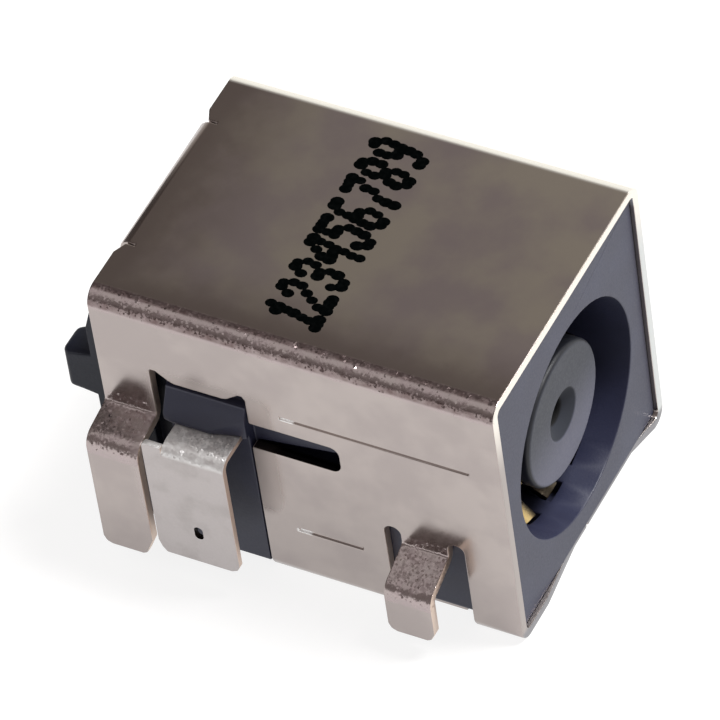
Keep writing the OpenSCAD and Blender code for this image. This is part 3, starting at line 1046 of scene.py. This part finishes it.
@dataclass
class InkMark:
    """Row of plain counting digits on the roof, jetted drop by drop.

    Args:
        digits: what is printed
        start: left end of the row on the roof in millimetres
        pitch: distance from one digit to the next
        column: distance between two columns of drops
        row: distance between two rows of drops
        slant: how far the tops lean along the row, for each millimetre of height
        drop_r: longer radius of a dried drop, across the row
        drop_w: shorter radius, along the row
        drop_h: height of a dried drop
        miss: farthest a drop lands off its mark
        spread: how much a drop's size varies, as a share of it
        seed: fixes the drops' misses and sizes
        finish: the ink
    """

    digits: str = "123456789"
    start: tuple[float, float] = (-4.0, 6.45)
    pitch: float = 0.89
    column: float = 0.165
    row: float = 0.28
    slant: float = 0.17
    drop_r: float = 0.215
    drop_w: float = 0.18
    drop_h: float = 0.012
    miss: float = 0.02
    spread: float = 0.12
    seed: int = 4
    finish: JetInk = JetInk()

    def build(self) -> Piece:
        """Jets the drops and joins them to one thin mark.

        Returns:
            the mark
        """
        first = self.drop()
        jitter = random.Random(self.seed)
        drops = [self.placed(first, place, jitter) for place in self.places()]
        bpy.data.objects.remove(first)
        make_active(drops[0])
        for drop in drops:
            drop.select_set(True)
        bpy.ops.object.join()
        mark = bpy.context.object
        mark.name = "ink_mark"
        apply_scale(mark, MM)
        bpy.ops.object.shade_smooth_by_angle(angle=SMOOTH_TURN)
        mark.data.materials.append(self.finish.material())
        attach(mark, "root")
        log.info("%s: %d drops", mark.name, len(drops))
        return mark

    def drop(self) -> Piece:
        """Models one dried drop: the flattened upper half of a ball.

        Returns:
            the drop, at the origin and in millimetres
        """
        deselect_all()
        bpy.ops.mesh.primitive_uv_sphere_add(segments=12, ring_count=8, radius=self.drop_r)
        drop = bpy.context.object
        with editing(drop):
            bpy.ops.mesh.select_all(action="SELECT")
            bpy.ops.mesh.bisect(plane_co=(0, 0, 0), plane_no=(0, 0, 1), clear_inner=True,
                                use_fill=True)
            bpy.ops.mesh.select_all(action="SELECT")
            flat = (self.drop_w / self.drop_r, 1, self.drop_h / self.drop_r)
            bpy.ops.transform.resize(value=flat, center_override=(0, 0, 0))
        return drop

    def places(self) -> Iterator[tuple[float, float]]:
        """Gives each drop's place on the roof, digit by digit.

        Returns:
            the places, across and along the jack in millimetres
        """
        for number, digit in enumerate(self.digits):
            for up, dots in enumerate(reversed(DIGITS[digit])):
                for across, dot in enumerate(dots):
                    if dot == "#":
                        y = up * self.row
                        x = number * self.pitch + across * self.column + y * self.slant
                        yield self.start[0] + x, self.start[1] + y

    def placed(self, first: Piece, place: tuple[float, float], jitter: random.Random) -> Piece:
        """Sets a copy of the drop on the roof, a little off its mark.

        Args:
            first: the drop to copy
            place: where it should land
            jitter: source of the small misses

        Returns:
            the copy
        """
        copy = first.copy()
        copy.data = first.data.copy()
        bpy.context.scene.collection.objects.link(copy)
        copy.location = (place[0] + jitter.uniform(-self.miss, self.miss),
                         place[1] + jitter.uniform(-self.miss, self.miss), SIZES.roof_z)
        copy.scale = (jitter.uniform(1 - self.spread, 1 + self.spread),) * 2 + (1,)
        return copy


# ---- Studio ----


@dataclass(frozen=True)
class Softbox:
    """A square soft light that points at the jack.

    Args:
        name: the light's name
        azimuth: its turn about the upright from the front, in degrees
        elevation: its height above the horizon, in degrees
        size: its width in metres
        power: its power in watts
    """

    name: str
    azimuth: float
    elevation: float
    size: float
    power: float


@dataclass
class Studio:
    """Pale floor, soft lights and the camera.

    Args:
        target: the point the camera looks at, in millimetres
        azimuth: camera's turn about the upright from the front, in degrees
        elevation: camera's height above the horizon, in degrees
        roll: camera's turn about its own line of sight, in degrees
        distance: camera's distance from the target, in millimetres
        sensor: width of the camera's sensor in millimetres
        lens: focal length in millimetres
        lights: the key light that draws the edges, and the fill in the near top bend
        reach: the lights' distance from the jack in metres
        room: the surroundings' tones, each with how far to the jack's right it lies, 0 to 1
        paper: the floor's two tones
        glow: strength of the light from behind the floor
        floor_width: width of the floor in metres
    """

    target: tuple[float, float, float] = (-0.21, 7.39, 5.0)
    azimuth: float = -56.95
    elevation: float = 47.02
    roll: float = -9.01
    distance: float = 240.2
    sensor: float = 36
    lens: float = 393.7
    lights: tuple[Softbox, ...] = (Softbox("key", 37, 62, 0.13, 2.2),
                                   Softbox("fill", -134, 58, 0.26, 0.105))
    reach: float = 0.36
    room: tuple[tuple[float, str], ...] = ((0.0, "#8F8785"), (0.72, "#FFFDF8"), (0.45, "#5A5553"),
                                           (0.6, "#7A7572"), (0.67, "#D2D0CB"))
    paper: tuple[str, str] = ("#7C7B7A", "#828180")
    glow: float = 0.85
    floor_width: float = 1.6

    def build(self) -> None:
        """Sets up the floor, the surroundings, the lights and the camera."""
        self.floor()
        self.surroundings()
        for box in self.lights:
            self.hang(box)
        self.camera()

    def direction(self, azimuth: float, elevation: float) -> Vector:
        """Points from the jack towards a place in the studio.

        Args:
            azimuth: turn about the upright from the front, in degrees
            elevation: height above the horizon, in degrees

        Returns:
            the unit vector
        """
        turn, rise = math.radians(azimuth), math.radians(elevation)
        return Vector((math.sin(turn) * math.cos(rise), -math.cos(turn) * math.cos(rise),
                       math.sin(rise)))

    def camera(self) -> None:
        """Places the camera and makes it the scene's."""
        back = self.direction(self.azimuth, self.elevation)
        right = Vector((-back.y, back.x, 0)).normalized()
        up = back.cross(right)
        tilt = math.radians(self.roll)
        rolled_right = right * math.cos(tilt) + up * math.sin(tilt)
        rolled_up = up * math.cos(tilt) - right * math.sin(tilt)
        data = bpy.data.cameras.new("camera")
        data.lens = self.lens
        data.sensor_width = self.sensor
        data.clip_start = 0.01
        camera = bpy.data.objects.new("camera", data)
        bpy.context.scene.collection.objects.link(camera)
        placed = Matrix((rolled_right, rolled_up, back)).transposed().to_4x4()
        placed.translation = (Vector(self.target) + back * self.distance) * MM
        camera.matrix_world = placed
        bpy.context.scene.camera = camera

    def hang(self, box: Softbox) -> None:
        """Hangs a light in its place and points it at the jack.

        Args:
            box: the light
        """
        data = bpy.data.lights.new(box.name, "AREA")
        data.size = box.size
        data.energy = box.power
        light = bpy.data.objects.new(box.name, data)
        bpy.context.scene.collection.objects.link(light)
        light.location = self.direction(box.azimuth, box.elevation) * self.reach
        aim = light.location - Vector(self.target) * MM
        light.rotation_euler = aim.to_track_quat("Z", "Y").to_euler()

    def surroundings(self) -> None:
        """Makes a dark room that brightens steeply towards a white wall on the jack's right."""
        world = bpy.data.worlds.new("studio")
        bpy.context.scene.world = world
        world.use_nodes = True
        tree = world.node_tree
        coordinates = add(tree, "ShaderNodeTexCoord")
        axes = add(tree, "ShaderNodeSeparateXYZ", {0: coordinates.outputs["Generated"]})
        tones = add(tree, "ShaderNodeValToRGB", {0: axes.outputs[0]})
        stops = tones.color_ramp.elements
        for number, (to_right, tone) in enumerate(self.room):
            stop = stops[number] if number < len(stops) else stops.new(to_right)
            stop.position = to_right
            stop.color = linear(tone)
        tree.links.new(tones.outputs[0], tree.nodes["Background"].inputs[0])

    def floor(self) -> None:
        """Lays the pale floor under the jack: a sheet that is lit a little from behind."""
        deselect_all()
        bpy.ops.mesh.primitive_plane_add(size=self.floor_width, location=(0, 0, 0))
        floor = bpy.context.object
        floor.name = "floor"
        s = Surface("matt_white_paper")
        colour = add(s.tree, MIX, {MASK: s.grain(0.6, 2.0), UNDER: linear(self.paper[0]),
                                   OVER: linear(self.paper[1])}, **COLOUR)
        s.shader.inputs["Roughness"].default_value = 0.9
        s.shader.inputs["Specular IOR Level"].default_value = 0.1
        s.shader.inputs["Emission Color"].default_value = linear("#FFFFFF")
        s.shader.inputs["Emission Strength"].default_value = self.glow
        s.connect(Base_Color=colour)
        floor.data.materials.append(s.material)


def main() -> None:
    """Builds the jack and the studio in order."""
    logging.basicConfig(level=logging.INFO, format="%(name)s: %(message)s")
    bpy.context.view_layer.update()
    scene = bpy.context.scene
    scene.view_settings.view_transform = "Standard"
    Studio().build()
    FoldedShell().build()
    Insulators().build()
    Contacts().build()
    InkMark().build()
    bpy.context.view_layer.update()


if __name__ == "__main__":
    main()
